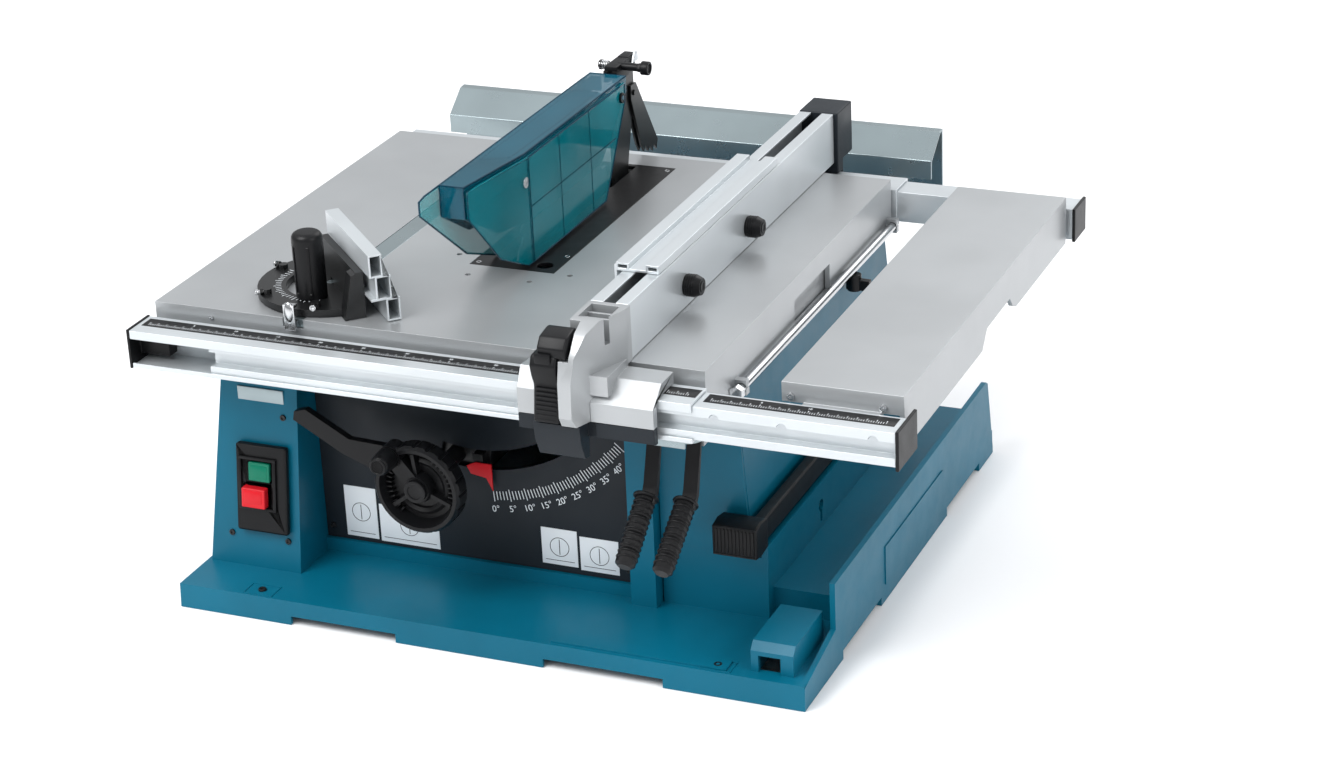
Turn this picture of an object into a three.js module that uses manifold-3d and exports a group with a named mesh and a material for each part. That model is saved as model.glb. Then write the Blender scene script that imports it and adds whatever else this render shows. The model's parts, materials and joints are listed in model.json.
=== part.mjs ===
// Portable table saw: moulded base, cast tables on sliding rails, tilting saw unit,
// rip fence and mitre gauge. Millimetres, +Z up. While the parts are placed, x = 0 is the
// left edge of the main table, y = 0 its front edge and z = 0 the floor. At the end the
// whole group is shifted so that its origin is at the centre of its own footprint.
import * as THREE from 'three';
import { mergeVertices } from 'three/addons/utils/BufferGeometryUtils.js';
import Module from 'manifold-3d';

const wasm = await Module();
wasm.setup();

// Driving dimensions
const tableTop = 344;
const tableWidth = 627.2;
const tableDepth = 567;
const plateThickness = 8;
const plateUnder = tableTop - plateThickness;
const slideLeft = 707.3;
const slideRight = 833;
const railBottom = 288;
const railTop = 330;
const gap = 0.3;
const bodyTop = 286;
const floorFlange = 28;
const bladeX = 320;
const bladeRadius = 130;
const bladeKerf = 2.4;
const arborY = 345;
const arborZ = 304;
const tiltPivot = [bladeX, tableTop];
const wheelAxis = [296, 166];
const wheelRadius = 50;
const rodX = 296;
const screwY = 186;
const guideRodsY = [215, 465];
const fenceLeft = 506;
const fenceRight = 547;
const gaugePivot = [166, 86];
const gaugeTurn = -Math.PI / 4;
const barsX = [[60, 74], [560, 574]];
const barsZ = [262, 276];

const finishes = {
  tealPlastic: { color: 0x24788c, roughness: 0.5, metalness: 0 },
  blackPlastic: { color: 0x1b1c1e, roughness: 0.55, metalness: 0 },
  darkPanel: { color: 0x2c3134, roughness: 0.6, metalness: 0 },
  castAluminium: { color: 0xa9acac, roughness: 0.42, metalness: 0.85 },
  railAluminium: { color: 0xcfd1d0, roughness: 0.35, metalness: 0.8 },
  zincSteel: { color: 0x9aa39c, roughness: 0.4, metalness: 0.85 },
  brightSteel: { color: 0xc4c6c8, roughness: 0.22, metalness: 1 },
  blackSteel: { color: 0x202224, roughness: 0.45, metalness: 0.4 },
  clearTeal: { color: 0x4fa6b4, roughness: 0.12, metalness: 0, transparent: true, opacity: 0.5 },
  greenPlastic: { color: 0x2f9e4f, roughness: 0.45, metalness: 0 },
  redPlastic: { color: 0xc23a2c, roughness: 0.45, metalness: 0 },
};

const object = new THREE.Group();

// Geometry to solid and back
function solidOf(geometry) {
  const bare = geometry.clone();
  for (const name of Object.keys(bare.attributes)) {
    if (name !== 'position') bare.deleteAttribute(name);
  }
  const merged = mergeVertices(bare, 1e-4);
  const vertProperties = new Float32Array(merged.attributes.position.array);
  const triVerts = new Uint32Array(merged.index.array);
  return new wasm.Manifold(new wasm.Mesh({ numProp: 3, vertProperties, triVerts }));
}

function geometryOf(solid) {
  const mesh = solid.getMesh();
  const geometry = new THREE.BufferGeometry();
  geometry.setAttribute('position', new THREE.BufferAttribute(mesh.vertProperties, 3));
  geometry.setIndex(new THREE.BufferAttribute(mesh.triVerts, 1));
  geometry.computeVertexNormals();
  return geometry;
}

function join(first, ...others) {
  return others.reduce((sum, other) => sum.add(other), first);
}

function cut(body, ...holes) {
  return holes.reduce((rest, hole) => rest.subtract(hole), body);
}

function add(name, solid, finish, parent = object) {
  const mesh = new THREE.Mesh(geometryOf(solid), new THREE.MeshStandardMaterial(finishes[finish]));
  mesh.name = name;
  parent.add(mesh);
  return mesh;
}

// Shapes. Each range is [low, high].
function block(x, y, z) {
  const geometry = new THREE.BoxGeometry(x[1] - x[0], y[1] - y[0], z[1] - z[0]);
  geometry.translate((x[0] + x[1]) / 2, (y[0] + y[1]) / 2, (z[0] + z[1]) / 2);
  return solidOf(geometry);
}

// A block whose rectangle changes from low = [x, y] at z[0] to high = [x, y] at z[1].
function taperedBlock(low, high, z) {
  const geometry = new THREE.BoxGeometry(1, 1, 1);
  const corners = geometry.attributes.position;
  for (let i = 0; i < corners.count; i += 1) {
    const end = corners.getZ(i) > 0 ? high : low;
    const x = end[0][corners.getX(i) > 0 ? 1 : 0];
    const y = end[1][corners.getY(i) > 0 ? 1 : 0];
    corners.setXYZ(i, x, y, z[corners.getZ(i) > 0 ? 1 : 0]);
  }
  return solidOf(geometry);
}

function extruded(points, depth) {
  const shape = new THREE.Shape(points.map(([u, v]) => new THREE.Vector2(u, v)));
  return new THREE.ExtrudeGeometry(shape, { depth, bevelEnabled: false });
}

// Prisms: the outline is (y, z), (x, z) or (x, y), and the last argument is the length's range.
function prismX(points, x) {
  const geometry = extruded(points, x[1] - x[0]);
  const basis = new THREE.Matrix4();
  basis.makeBasis(new THREE.Vector3(0, 1, 0), new THREE.Vector3(0, 0, 1), new THREE.Vector3(1, 0, 0));
  geometry.applyMatrix4(basis);
  geometry.translate(x[0], 0, 0);
  return solidOf(geometry);
}

function prismY(points, y) {
  const geometry = extruded(points, y[1] - y[0]);
  const basis = new THREE.Matrix4();
  basis.makeBasis(new THREE.Vector3(1, 0, 0), new THREE.Vector3(0, 0, 1), new THREE.Vector3(0, -1, 0));
  geometry.applyMatrix4(basis);
  geometry.translate(0, y[1], 0);
  return solidOf(geometry);
}

function prismZ(points, z) {
  const geometry = extruded(points, z[1] - z[0]);
  geometry.translate(0, 0, z[0]);
  return solidOf(geometry);
}

// A round bar along an axis. centre holds the other two coordinates, in x, y, z order, and
// radius is a number or [radius at the low end, radius at the high end].
function rod(axis, centre, radius, range, sides = 24) {
  const [low, high] = Array.isArray(radius) ? radius : [radius, radius];
  const geometry = new THREE.CylinderGeometry(high, low, range[1] - range[0], sides);
  const middle = (range[0] + range[1]) / 2;
  if (axis === 'x') {
    geometry.rotateZ(-Math.PI / 2);
    geometry.translate(middle, centre[0], centre[1]);
  } else if (axis === 'y') {
    geometry.translate(centre[0], middle, centre[1]);
  } else {
    geometry.rotateX(Math.PI / 2);
    geometry.translate(centre[0], centre[1], middle);
  }
  return solidOf(geometry);
}

// A point at a radius from (u, v), with its angle in degrees from straight down.
function polar(u, v, radius, degrees) {
  const angle = THREE.MathUtils.degToRad(degrees);
  return [u + radius * Math.sin(angle), v - radius * Math.cos(angle)];
}

function arcPoints(u, v, radius, from, to, steps) {
  const points = [];
  for (let i = 0; i <= steps; i += 1) points.push(polar(u, v, radius, from + ((to - from) * i) / steps));
  return points;
}

// The outline of a curved slot between two radii.
function arcBand([u, v], inner, outer, from, to, steps = 10) {
  return [
    ...arcPoints(u, v, outer, from, to, steps),
    ...arcPoints(u, v, inner, to, from, steps),
  ];
}

// ---- Base ----
function baseShell() {
  const flange = taperedBlock([[12, 736], [-37, 606]], [[13, 736], [-36, 605]], [0, floorFlange]);
  const body = taperedBlock([[17.6, 640], [92.4, 566]], [[40, 622], [92.4, 556]], [floorFlange - 1, bodyTop]);
  const tower = taperedBlock([[17.6, 129.4], [25, 100]], [[40, 129.4], [61.3, 100]], [floorFlange - 1, bodyTop]);
  const post = taperedBlock([[502, 531], [72, 100]], [[502, 531], [75, 100]], [floorFlange - 1, bodyTop]);
  const rightBlock = taperedBlock([[533, 652], [88, 560]], [[533, 652], [90, 556]], [floorFlange - 1, 111]);
  const rightTop = taperedBlock([[533, 634], [88, 110]], [[533, 622], [90, 110]], [100, bodyTop]);
  const tray = block([650, 733], [103, 590], [floorFlange - 1, 58]);
  const sill = block([129, 502.5], [86, 94], [floorFlange - 1, 43.2]);
  return join(flange, body, tower, post, rightBlock, rightTop, tray, sill);
}

function baseWall() {
  const outline = [[-37, 0], [604, 0], [604, 8], [584, 97], [578, 101], [57, 97.5], [57, 45], [-36, 26]];
  const panel = block([736, 738.2], [212, 410], [20, 65]);
  return join(prismX(outline, [731, 737]), panel);
}

function baseFoot() {
  const front = [[-22, 27], [-22, 52], [-14, 60], [66, 60], [66, 27]];
  return cut(prismX(front, [674, 720]), block([679, 715], [-16, 62], [20, 55]), block([682, 706], [-30, -10], [26, 47]));
}

function baseHollows() {
  const under = block([16, 731], [-33, 602], [-1, floorFlange - 4]);
  const saw = taperedBlock([[22, 529], [95.6, 562]], [[44, 529], [95.6, 552]], [floorFlange - 8, bodyTop + 4]);
  const tower = taperedBlock([[22, 125.4], [29, 98]], [[44, 125.4], [65.3, 98]], [floorFlange - 8, bodyTop + 4]);
  const side = taperedBlock([[537, 636], [94, 562]], [[537, 618], [94, 552]], [floorFlange - 8, bodyTop + 4]);
  const ledge = block([600, 648], [94, 554], [floorFlange - 8, 90]);
  const trough = block([626, 646], [100, 540], [95, 112]);
  const underTray = block([656, 727], [107, 586], [floorFlange - 8, 54]);
  return [under, saw, tower, side, ledge, trough, underTray];
}

function baseOpenings() {
  const panelHole = block([134, 497.6], [80, 96], [50, 282]);
  const notch = block([629, 645], [80, 101], [97, 112]);
  const barHoles = barsX.map(([a, b]) => block([a - 1, b + 1], [540, 570], [barsZ[0] - 1, barsZ[1] + 1]));
  const frontFeet = [[149, 275], [447, 582]].map((x) => block(x, [-40, 610], [-1, 10]));
  const sideFeet = [[78, 200], [428, 550]].map((y) => block([10, 740], y, [-1, 10]));
  const keyhole = join(rod('x', [250, 84], 7, [646, 654], 12), block([646, 654], [247, 253], [64, 84]));
  return [panelHole, notch, ...barHoles, ...frontFeet, ...sideFeet, keyhole];
}

function baseHousing() {
  const groove = block([531, 533], [80, 92.4], [floorFlange, bodyTop + 1]);
  const nameRib = block([455, 650], [-31, -12], [floorFlange - 1, floorFlange + 2]);
  const shell = cut(join(baseShell(), nameRib), ...baseHollows(), groove);
  const footHole = block([679, 715], [-16, 62], [20, 40]);
  const body = join(cut(shell, footHole), baseWall(), baseFoot());
  return cut(body, block([16, 731], [-33, 602], [-1, floorFlange - 4]), ...baseOpenings());
}

function frontPanel() {
  const slot = prismY(arcBand(tiltPivot, 168.5, 191, -13, 54, 16), [85, 97]);
  return cut(block([129.8, 501.6], [90, 92], [44, bodyTop]), slot);
}

// ---- Switch: box and buttons stand on the tower's leaning face ----
const towerLean = Math.atan2(61.3 - 25, bodyTop - floorFlange);

function towerFace(z) {
  return 25 + (z - floorFlange) * Math.tan(towerLean);
}

function leaningBlock(x, z, back, front) {
  const outline = [
    [towerFace(z[0]) - front, z[0]],
    [towerFace(z[0]) - back, z[0]],
    [towerFace(z[1]) - back, z[1]],
    [towerFace(z[1]) - front, z[1]],
  ];
  return prismX(outline, x);
}

function makeSwitch() {
  const box = leaningBlock([57, 119], [72, 171], gap, 9);
  const wells = [leaningBlock([72, 100], [130, 153], 1.5, 12), leaningBlock([66, 97], [102, 126], 1.5, 12)];
  add('switch_box', cut(box, ...wells), 'blackPlastic');
  add('start_button', leaningBlock([73, 99], [131, 152], 5.2, 11), 'greenPlastic');
  add('stop_button', leaningBlock([67, 96], [103, 125], 6.6, 17), 'redPlastic');
}

// ---- Main table ----
function tableSkirts() {
  const ring = cut(
    block([0, tableWidth], [0, tableDepth], [290, plateUnder + 1]),
    block([6, tableWidth - 6], [6, tableDepth - 6], [280, plateUnder + 2]),
  );
  const right = block([tableWidth - 6, tableWidth], [84, tableDepth], [287, 300]);
  return cut(join(ring, right), block([600, 640], [250, 360], [290, 320]));
}

function tableRibs() {
  const outer = block([40, 620], [92.4, 556], [bodyTop + gap, plateUnder + 1]);
  const inner = block([44, 616], [95.6, 552], [280, plateUnder + 2]);
  return cut(outer, inner);
}

function barLugs() {
  return barsX.map(([a, b]) => cut(
    block([a - 6, b + 6], [380, 392], [256, plateUnder + 1]),
    block([a - 0.4, b + 0.4], [370, 400], [barsZ[0] - 0.4, barsZ[1] + 0.4]),
  ));
}

function leverLugs() {
  return [[564, 580], [607, 623]].map((x) => block(x, [0, 14], [262, 292]));
}

function rodLugs() {
  return [[76, 84], [548, 556]].map((y) => cut(
    block([tableWidth - 1, 640], y, [287, 303]),
    rod('y', [634.5, 294.5], 5.5, [y[0] - 1, y[1] + 1], 16),
  ));
}

function mainTable() {
  const plate = block([0, tableWidth], [0, tableDepth], [plateUnder, tableTop]);
  const slotRib = block([146, 186], [6, tableDepth - 6], [328, plateUnder + 1]);
  const body = join(plate, tableSkirts(), tableRibs(), slotRib, ...barLugs(), ...leverLugs(), ...rodLugs());
  const slot = block([154, 178], [-1, tableDepth + 1], [334, tableTop + 1]);
  const opening = block([281, 371], [198, 529], [300, tableTop + 1]);
  const seat = block([276, 376], [193, 534], [tableTop - 4.3, tableTop + 1]);
  const screwHoles = [[253, 216], [288, 165], [360, 165], [395, 193]].map(
    (centre) => rod('z', centre, 3.2, [330, tableTop + 1], 12),
  );
  return cut(body, slot, opening, seat, ...screwHoles);
}

function tableInsert() {
  const plate = block([276.4, 375.6], [193.4, 533.6], [tableTop - 4, tableTop]);
  const finger = rod('z', [357, 212], 9, [330, tableTop + 1], 16);
  return cut(plate, block([316, 328.5], [213, 527], [330, tableTop + 1]), finger);
}

// ---- Rails ----
// The channel opens away from the table. side = -1 for the front rail, 1 for the rear one.
function railChannel(side, near, far) {
  const across = (a, b) => (side < 0 ? [-b, -a] : [tableDepth + a, tableDepth + b]);
  const profile = join(
    block([-3, 632], across(near, far), [railTop - 2.6, railTop]),
    block([-3, 632], across(far - 2.6, far), [railTop - 9.5, railTop]),
    block([-3, 632], across(near, near + 2.6), [railBottom, railTop]),
    block([-3, 632], across(near, far), [railBottom, railBottom + 2.6]),
    block([-3, 632], across(far - 2.6, far), [railBottom, railBottom + 5]),
  );
  const ribs = [[20, 60], [290, 330], [585, 620]].map((x) => block(x, across(gap + 0.1, near + 1), [296, 318]));
  return join(profile, ...ribs);
}

function makeRails() {
  add('front_rail', railChannel(-1, 8, 50), 'railAluminium');
  add('rear_rail', railChannel(1, 4.4, 46.4), 'railAluminium');
  const capPlate = block([-6.3, -3.3], [-51, -7], [287, 331]);
  add('front_rail_cap', join(capPlate, block([-4, 32], [-31, -16], [297, 321])), 'blackPlastic');
}

// The square tube that slides inside a channel. y holds its outer faces.
function slideTube(y, hollow, recess) {
  const tube = block([90, 839.5], y, [291, 327]);
  return cut(tube, block([80, 850], hollow, [294, 324]), block([80, 850], recess, [300, 316]));
}

function makeSlideRails() {
  const front = slideTube([-47, -11], [-33, -14], [-48, -36]);
  const notches = [654, 724, 817].map((x) => rod('y', [x, 316], 5, [-48, -40], 16));
  add('front_slide_rail', cut(front, ...notches), 'railAluminium');
  add('rear_slide_rail', slideTube([574.4, 610.4], [577.4, 596.4], [599.4, 611.4]), 'railAluminium');
  add('front_slide_cap', block([839.8, 843.5], [-49, 8], [287.5, 329]), 'blackPlastic');
  add('rear_slide_cap', block([839.8, 843.5], [567, 612], [291, 330]), 'blackPlastic');
}

function rightTable() {
  const width = [slideLeft, slideRight];
  const plate = block(width, [0, tableDepth], [plateUnder, tableTop]);
  const front = block(width, [0, 5], [323, tableTop - 1]);
  const rear = block(width, [tableDepth - 5, tableDepth], [300, tableTop - 1]);
  const left = block([slideLeft, slideLeft + 5], [0, tableDepth], [330, tableTop - 1]);
  const skirt = [
    [0, 323], [22, 287], [252, 287], [269, 306], [351, 307], [362, 294], [374, 289],
    [tableDepth, 289], [tableDepth, tableTop - 1], [0, tableTop - 1],
  ];
  const right = prismX(skirt, [slideRight - 5, slideRight]);
  const ribs = [140, 280, 420].map((y) => block([710, 830], [y, y + 5], [318, tableTop - 1]));
  const frontLug = block([730, 810], [-10.7, 2], [296, 324]);
  const frontFlange = block([730, 810], [0, 6], [296, 340]);
  const rearLug = block([730, 810], [tableDepth - 1, 574.1], [296, 318]);
  return join(plate, front, rear, left, right, ...ribs, frontLug, frontFlange, rearLug);
}

function stayRod() {
  return join(
    rod('y', [634.5, 294.5], 5, [67, 560], 16),
    rod('y', [634.5, 294.5], 8, [60, 68], 6),
  );
}

function wingKnob() {
  const hub = rod('z', [634.5, 418], 8, [268, 286.6], 16);
  return join(hub, block([626, 653], [414, 422], [269, 281]));
}

// ---- Rear table: one bent sheet on two square bars ----
function rearTable() {
  const t = 2.5;
  const outline = [
    [706, 295], [706 + t, 295], [706 + t, 316], [741, 340.5], [748.5, 341.5], [748.5, 258],
    [751, 258], [751, tableTop], [740, 343], [706, 318],
  ];
  return prismX(outline, [-4, 630]);
}

function makeRearTable() {
  add('rear_table', rearTable(), 'zincSteel');
  add('rear_table_bar_left', block(barsX[0], [320, 748.2], barsZ), 'brightSteel');
  add('rear_table_bar_right', block(barsX[1], [320, 748.2], barsZ), 'brightSteel');
}

// ---- Levers under the front rail ----
function leverBracket() {
  const plate = block([586, 618], [-46, -8.3], [284.5, 287.6]);
  const nose = rod('z', [618, -27.1], 18.9, [284.5, 287.6], 24);
  const lip = block([586, 622], [-46, -43.5], [279, 287.6]);
  const pocket = block([600, 640], [-20, -8], [280, 290]);
  return cut(join(plate, nose, lip), pocket);
}

// A flat strap from the pivot down to the bend, then a ribbed grip towards the user.
function lockLever(x, pivotZ, bend, gripEnd) {
  const strap = [[-5.6, pivotZ + 8], [-2.6, pivotZ + 8], [-2.6, pivotZ - 4], [-16, 216], [-26, 204],
    [-31, 206], [-21, 222], [-5.6, pivotZ - 4]];
  const pin = rod('y', [x, pivotZ], 4, [-5, -gap], 12);
  const length = Math.hypot(gripEnd[1] - bend[1], gripEnd[2] - bend[2]);
  const profile = [new THREE.Vector2(0, 0), new THREE.Vector2(7, 0), new THREE.Vector2(10.5, 3)];
  for (let ring = 0; ring < 4; ring += 1) {
    const at = 3 + (ring * (length - 8)) / 4;
    profile.push(new THREE.Vector2(10.5, at + 4), new THREE.Vector2(9, at + 6), new THREE.Vector2(10.5, at + 8));
  }
  profile.push(new THREE.Vector2(10.5, length - 3), new THREE.Vector2(7, length), new THREE.Vector2(0, length));
  const grip = new THREE.LatheGeometry(profile, 12);
  grip.rotateX(Math.atan2(gripEnd[2] - bend[2], gripEnd[1] - bend[1]));
  grip.translate(bend[0], bend[1], bend[2]);
  return join(prismX(strap, [x - 7.5, x + 7.5]), pin, solidOf(grip));
}

function makeLockLevers() {
  add('lock_lever_left', lockLever(572, 274, [568, -22, 210], [568, -85, 160]), 'blackPlastic');
  add('lock_lever_right', lockLever(615, 276, [611, -22, 210], [611, -92, 163]), 'blackPlastic');
  add('lever_bracket', leverBracket(), 'zincSteel');
  add('stay_rod', stayRod(), 'brightSteel');
  add('wing_knob', wingKnob(), 'blackPlastic');
}

// ---- Tilting saw unit: everything here swings about an axis along the table top ----
function trunnion(y) {
  const plate = prismY([[230, 300], [262, 250], [360, 250], [410, 300], [410, plateUnder - gap], [230, plateUnder - gap]], y);
  const slot = prismY(arcBand(tiltPivot, 58, 70, -25, 70, 14), [y[0] - 1, y[1] + 1]);
  return cut(plate, slot);
}

function tiltFrame() {
  const frontOutline = [
    [270, 120], [330, 120], [334, 162], [352, 262], [352, 290], [340, 300], [284, 300], [274, 262], [270, 180],
  ];
  const rearOutline = [[270, 120], [330, 120], [352, 262], [352, 290], [340, 300], [284, 300], [274, 262]];
  const keyBand = arcBand(tiltPivot, 58.4, 69.6, -20, 20, 6);
  const beam = block([284, 308], [100, 536], [126, 150]);
  const rods = guideRodsY.map((y) => rod('z', [rodX, y], 9, [149, 326], 20));
  const boss = rod('y', wheelAxis, 9.5, [44, 100], 24);
  const lug = block([318, 330], [86.3, 98], [156, 172]);
  const knifeMount = block([300, 318.5], [486, 534], [240, 300]);
  const body = join(
    prismY(frontOutline, [96.4, 104]),
    prismY(rearOutline, [532, 539.6]),
    prismY(keyBand, [103, 111.7]),
    prismY(keyBand, [538, 547]),
    beam, ...rods, boss, lug, knifeMount,
  );
  return cut(body, rod('y', wheelAxis, 7.4, [40, 110], 24));
}

function tiltPointer() {
  const outline = [[311, 158], [322, 163], [341, 163], [341, 131], [334, 146], [316, 149]];
  return prismY(outline, [84, 86]);
}

const knobAt = THREE.MathUtils.degToRad(130);
const knobCentre = [wheelAxis[0] + 45 * Math.cos(knobAt), wheelAxis[1] + 45 * Math.sin(knobAt)];

function handwheel() {
  const [x, z] = wheelAxis;
  const profile = [
    [7.4, -2], [14, -2], [16, 4], [16, 12], [38, 12], [41, 2], [43, -4], [47, -4],
    [wheelRadius, 0], [wheelRadius, 16], [47, 20], [7.4, 20],
  ].map(([r, h]) => new THREE.Vector2(r, h));
  profile.push(profile[0].clone());
  const wheel = new THREE.LatheGeometry(profile, 40);
  wheel.translate(x, 0, z);
  const notches = [];
  for (let i = 0; i < 20; i += 1) {
    const angle = (i * Math.PI) / 10;
    const centre = [x + (wheelRadius + 1.5) * Math.cos(angle), z + (wheelRadius + 1.5) * Math.sin(angle)];
    notches.push(rod('y', centre, 3, [-5, 21], 8));
  }
  const fins = [0, 1, 2].map((i) => {
    const geometry = new THREE.BoxGeometry(24, 12, 4);
    geometry.translate(27, 8, 0);
    geometry.rotateY((i * 2 * Math.PI) / 3 + 0.4);
    geometry.translate(x, 0, z);
    return solidOf(geometry);
  });
  const knobBoss = rod('y', knobCentre, 13, [-4, 16], 20);
  const reach = new THREE.BoxGeometry(34, 14, 18);
  reach.translate(24, 6, 0);
  reach.rotateY(-knobAt);
  reach.translate(x, 0, z);
  const arm = cut(solidOf(reach), rod('y', wheelAxis, 9, [-10, 30], 24));
  return join(cut(join(solidOf(wheel), ...fins), ...notches), knobBoss, arm);
}

function handwheelShaft() {
  const gear = rod('y', wheelAxis, [14.6, 8.6], [169.6, 175.6], 20);
  return join(rod('y', wheelAxis, 7, [-1.6, 170], 24), gear);
}

function elevationScrew() {
  const centre = [rodX, screwY];
  return join(
    rod('z', centre, 4, [150.3, 175], 16),
    rod('z', centre, [8.6, 14.6], [173.5, 179.5], 20),
    rod('z', centre, 6, [178, 322], 16),
  );
}


function crankKnob() {
  return join(
    rod('y', knobCentre, [9, 11], [-28, -24], 20),
    rod('y', knobCentre, [11, 12.5], [-24, -4.4], 20),
  );
}

function bevelLockLever() {
  const hub = rod('y', wheelAxis, 26, [31, 43.7], 24);
  const arm = prismY([[290, 140], [290, 192], [200, 196], [150, 224], [136, 220], [134, 210], [190, 178]], [33, 42]);
  return cut(join(hub, arm), rod('y', wheelAxis, 10, [20, 50], 24), rod('y', wheelAxis, 7.6, [20, 50], 24));
}

// ---- Saw carriage: rises and falls on the two guide rods ----
function gearCase() {
  const housing = join(
    block([266, 310], [262, 372], [arborZ - 52, arborZ + 16]),
    rod('x', [arborY, arborZ], 24, [288, 310], 24),
  );
  const arm = block([280, 310], [174, 482], [arborZ - 20, arborZ + 14]);
  const body = join(housing, arm);
  const rodHoles = guideRodsY.map((y) => rod('z', [rodX, y], 9.5, [240, 340], 20));
  const screwHole = rod('z', [rodX, screwY], 7.2, [240, 340], 16);
  return cut(body, ...rodHoles, screwHole, rod('x', [arborY, arborZ], 10.4, [295.6, 312], 24));
}

function motorHousing() {
  const centre = [290, arborZ - 40];
  const can = rod('x', centre, 44, [158, 265.7], 28);
  const tail = rod('x', centre, [30, 42], [150, 159], 28);
  const fins = [];
  for (let i = 0; i < 5; i += 1) {
    fins.push(cut(rod('x', centre, 46, [174 + i * 16, 180 + i * 16], 28), rod('x', centre, 41, [173 + i * 16, 181 + i * 16], 28)));
  }
  return cut(can.add(tail), ...fins);
}

function arbor() {
  return join(
    rod('x', [arborY, arborZ], 10, [296, 312.6], 20),
    rod('x', [arborY, arborZ], 7.9, [312, 340], 20),
  );
}

function boredDisc(radius, x, sides) {
  return cut(rod('x', [arborY, arborZ], radius, x, sides), rod('x', [arborY, arborZ], 8.4, [x[0] - 1, x[1] + 1], 24));
}

function sawBlade() {
  const teeth = 24;
  const outline = [];
  for (let i = 0; i < teeth; i += 1) {
    const tip = (360 * i) / teeth;
    outline.push(polar(arborY, arborZ, bladeRadius, tip));
    outline.push(polar(arborY, arborZ, bladeRadius - 9, tip + 1.4));
    outline.push(polar(arborY, arborZ, bladeRadius - 7, tip + 5));
    outline.push(polar(arborY, arborZ, bladeRadius - 1, tip + 9));
  }
  const half = bladeKerf / 2;
  const disc = prismX(outline, [bladeX - half, bladeX + half]);
  return cut(disc, rod('x', [arborY, arborZ], 8.4, [310, 330], 24));
}

function makeSawUnit() {
  add('front_trunnion', trunnion([105.6, 112]), 'zincSteel');
  add('rear_trunnion', trunnion([541, 548]), 'zincSteel');
  add('tilt_frame', tiltFrame(), 'blackSteel');
  add('tilt_pointer', tiltPointer(), 'redPlastic');
  add('handwheel', handwheel(), 'blackPlastic');
  add('handwheel_shaft', handwheelShaft(), 'brightSteel');
  add('elevation_screw', elevationScrew(), 'brightSteel');
  add('crank_knob', crankKnob(), 'blackPlastic');
  add('bevel_lock_lever', bevelLockLever(), 'blackPlastic');
  add('gear_case', gearCase(), 'castAluminium');
  add('motor_housing', motorHousing(), 'blackPlastic');
  add('arbor', arbor(), 'brightSteel');
  add('inner_flange', boredDisc(22, [313, 318.5], 28), 'brightSteel');
  add('saw_blade', sawBlade(), 'brightSteel');
  add('outer_flange', boredDisc(20, [321.6, 326], 28), 'brightSteel');
  add('arbor_nut', boredDisc(12, [326.4, 336], 6), 'brightSteel');
}

// ---- Riving knife and blade guard ----
function rivingKnife() {
  const outline = [
    [486, 246], [478, 310], [480, 395], [505, 440], [512, 466], [548, 466], [549, 430],
    [538, 395], [524, 352], [520, 330], [520, 246],
  ];
  const pin = rod('x', [540, 430], 3, [313.4, 326.6], 12);
  return join(prismX(outline, [318.85, 321.15]), pin);
}

function pawl(x) {
  const outline = [
    [533, 440], [548, 440], [604, 352], [600, 341], [592, 349], [588, 342], [580, 351],
    [576, 346], [568, 356], [563, 350], [556, 360], [532, 424],
  ];
  return cut(prismX(outline, x), rod('x', [540, 430], 3.4, [x[0] - 1, x[1] + 1], 12));
}

function guardClamp() {
  const body = cut(block([311, 329], [484, 545], [456, 478]), block([318.5, 321.5], [470, 560], [440, 466.4]));
  const pin = rod('x', [505, 473], 4, [299, 352], 12);
  const knob = rod('x', [505, 473], 8, [352, 362], 16);
  return join(body, pin, knob);
}

const guardPivot = [458, 452];

// The hood seen from above, pulled in by the wall's thickness for its hollow.
function hoodPlan(inset) {
  return [
    [297 + inset, 97 + inset], [325 - inset, 97 + inset], [341.5 - inset, 210], [341.5 - inset, 482 - inset],
    [297 + inset, 482 - inset],
  ];
}

function guardHood() {
  const side = [[97, 435], [97, 470], [482, 470], [482, 452], [404, 392], [219, 392], [154, 400]];
  const outer = prismZ(hoodPlan(0), [380, 470]).intersect(prismX(side, [280, 360]));
  const hollow = prismZ(hoodPlan(2.4), [370, 467.4]);
  const rearOpening = block([311, 329], [470, 490], [440, 467]);
  const pin = rod('x', guardPivot, 3, [290.5, 348], 12);
  return join(cut(outer, hollow, rearOpening), pin);
}

function sideGuardLeft() {
  const outline = [[57, 450], [57, 465], [70, 467], [470, 467], [470, 446], [404, 347], [219, 347], [154, 373]];
  return cut(prismX(outline, [293.4, 296]), rod('x', guardPivot, 3.4, [285, 300], 12));
}

function sideGuardRight() {
  const outline = [[97, 435], [97, 465], [120, 466], [440, 466], [470, 466], [470, 446], [404, 347], [200, 347], [150, 372]];
  const plan = [[326.5, 90], [329.4, 90], [345, 209], [345, 480], [342.2, 480], [342.2, 210]];
  const plate = prismX(outline, [320, 350]).intersect(prismZ(plan, [340, 470]));
  return cut(plate, rod('x', guardPivot, 3.4, [335, 350], 12));
}

function makeGuard() {
  add('riving_knife', rivingKnife(), 'blackSteel');
  add('pawl_left', pawl([315.6, 318.4]), 'blackSteel');
  add('pawl_right', pawl([321.6, 324.4]), 'blackSteel');
  add('guard_clamp', guardClamp(), 'blackPlastic');
  add('guard_hood', guardHood(), 'clearTeal');
  add('side_guard_left', sideGuardLeft(), 'clearTeal');
  add('side_guard_right', sideGuardRight(), 'clearTeal');
}

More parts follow.
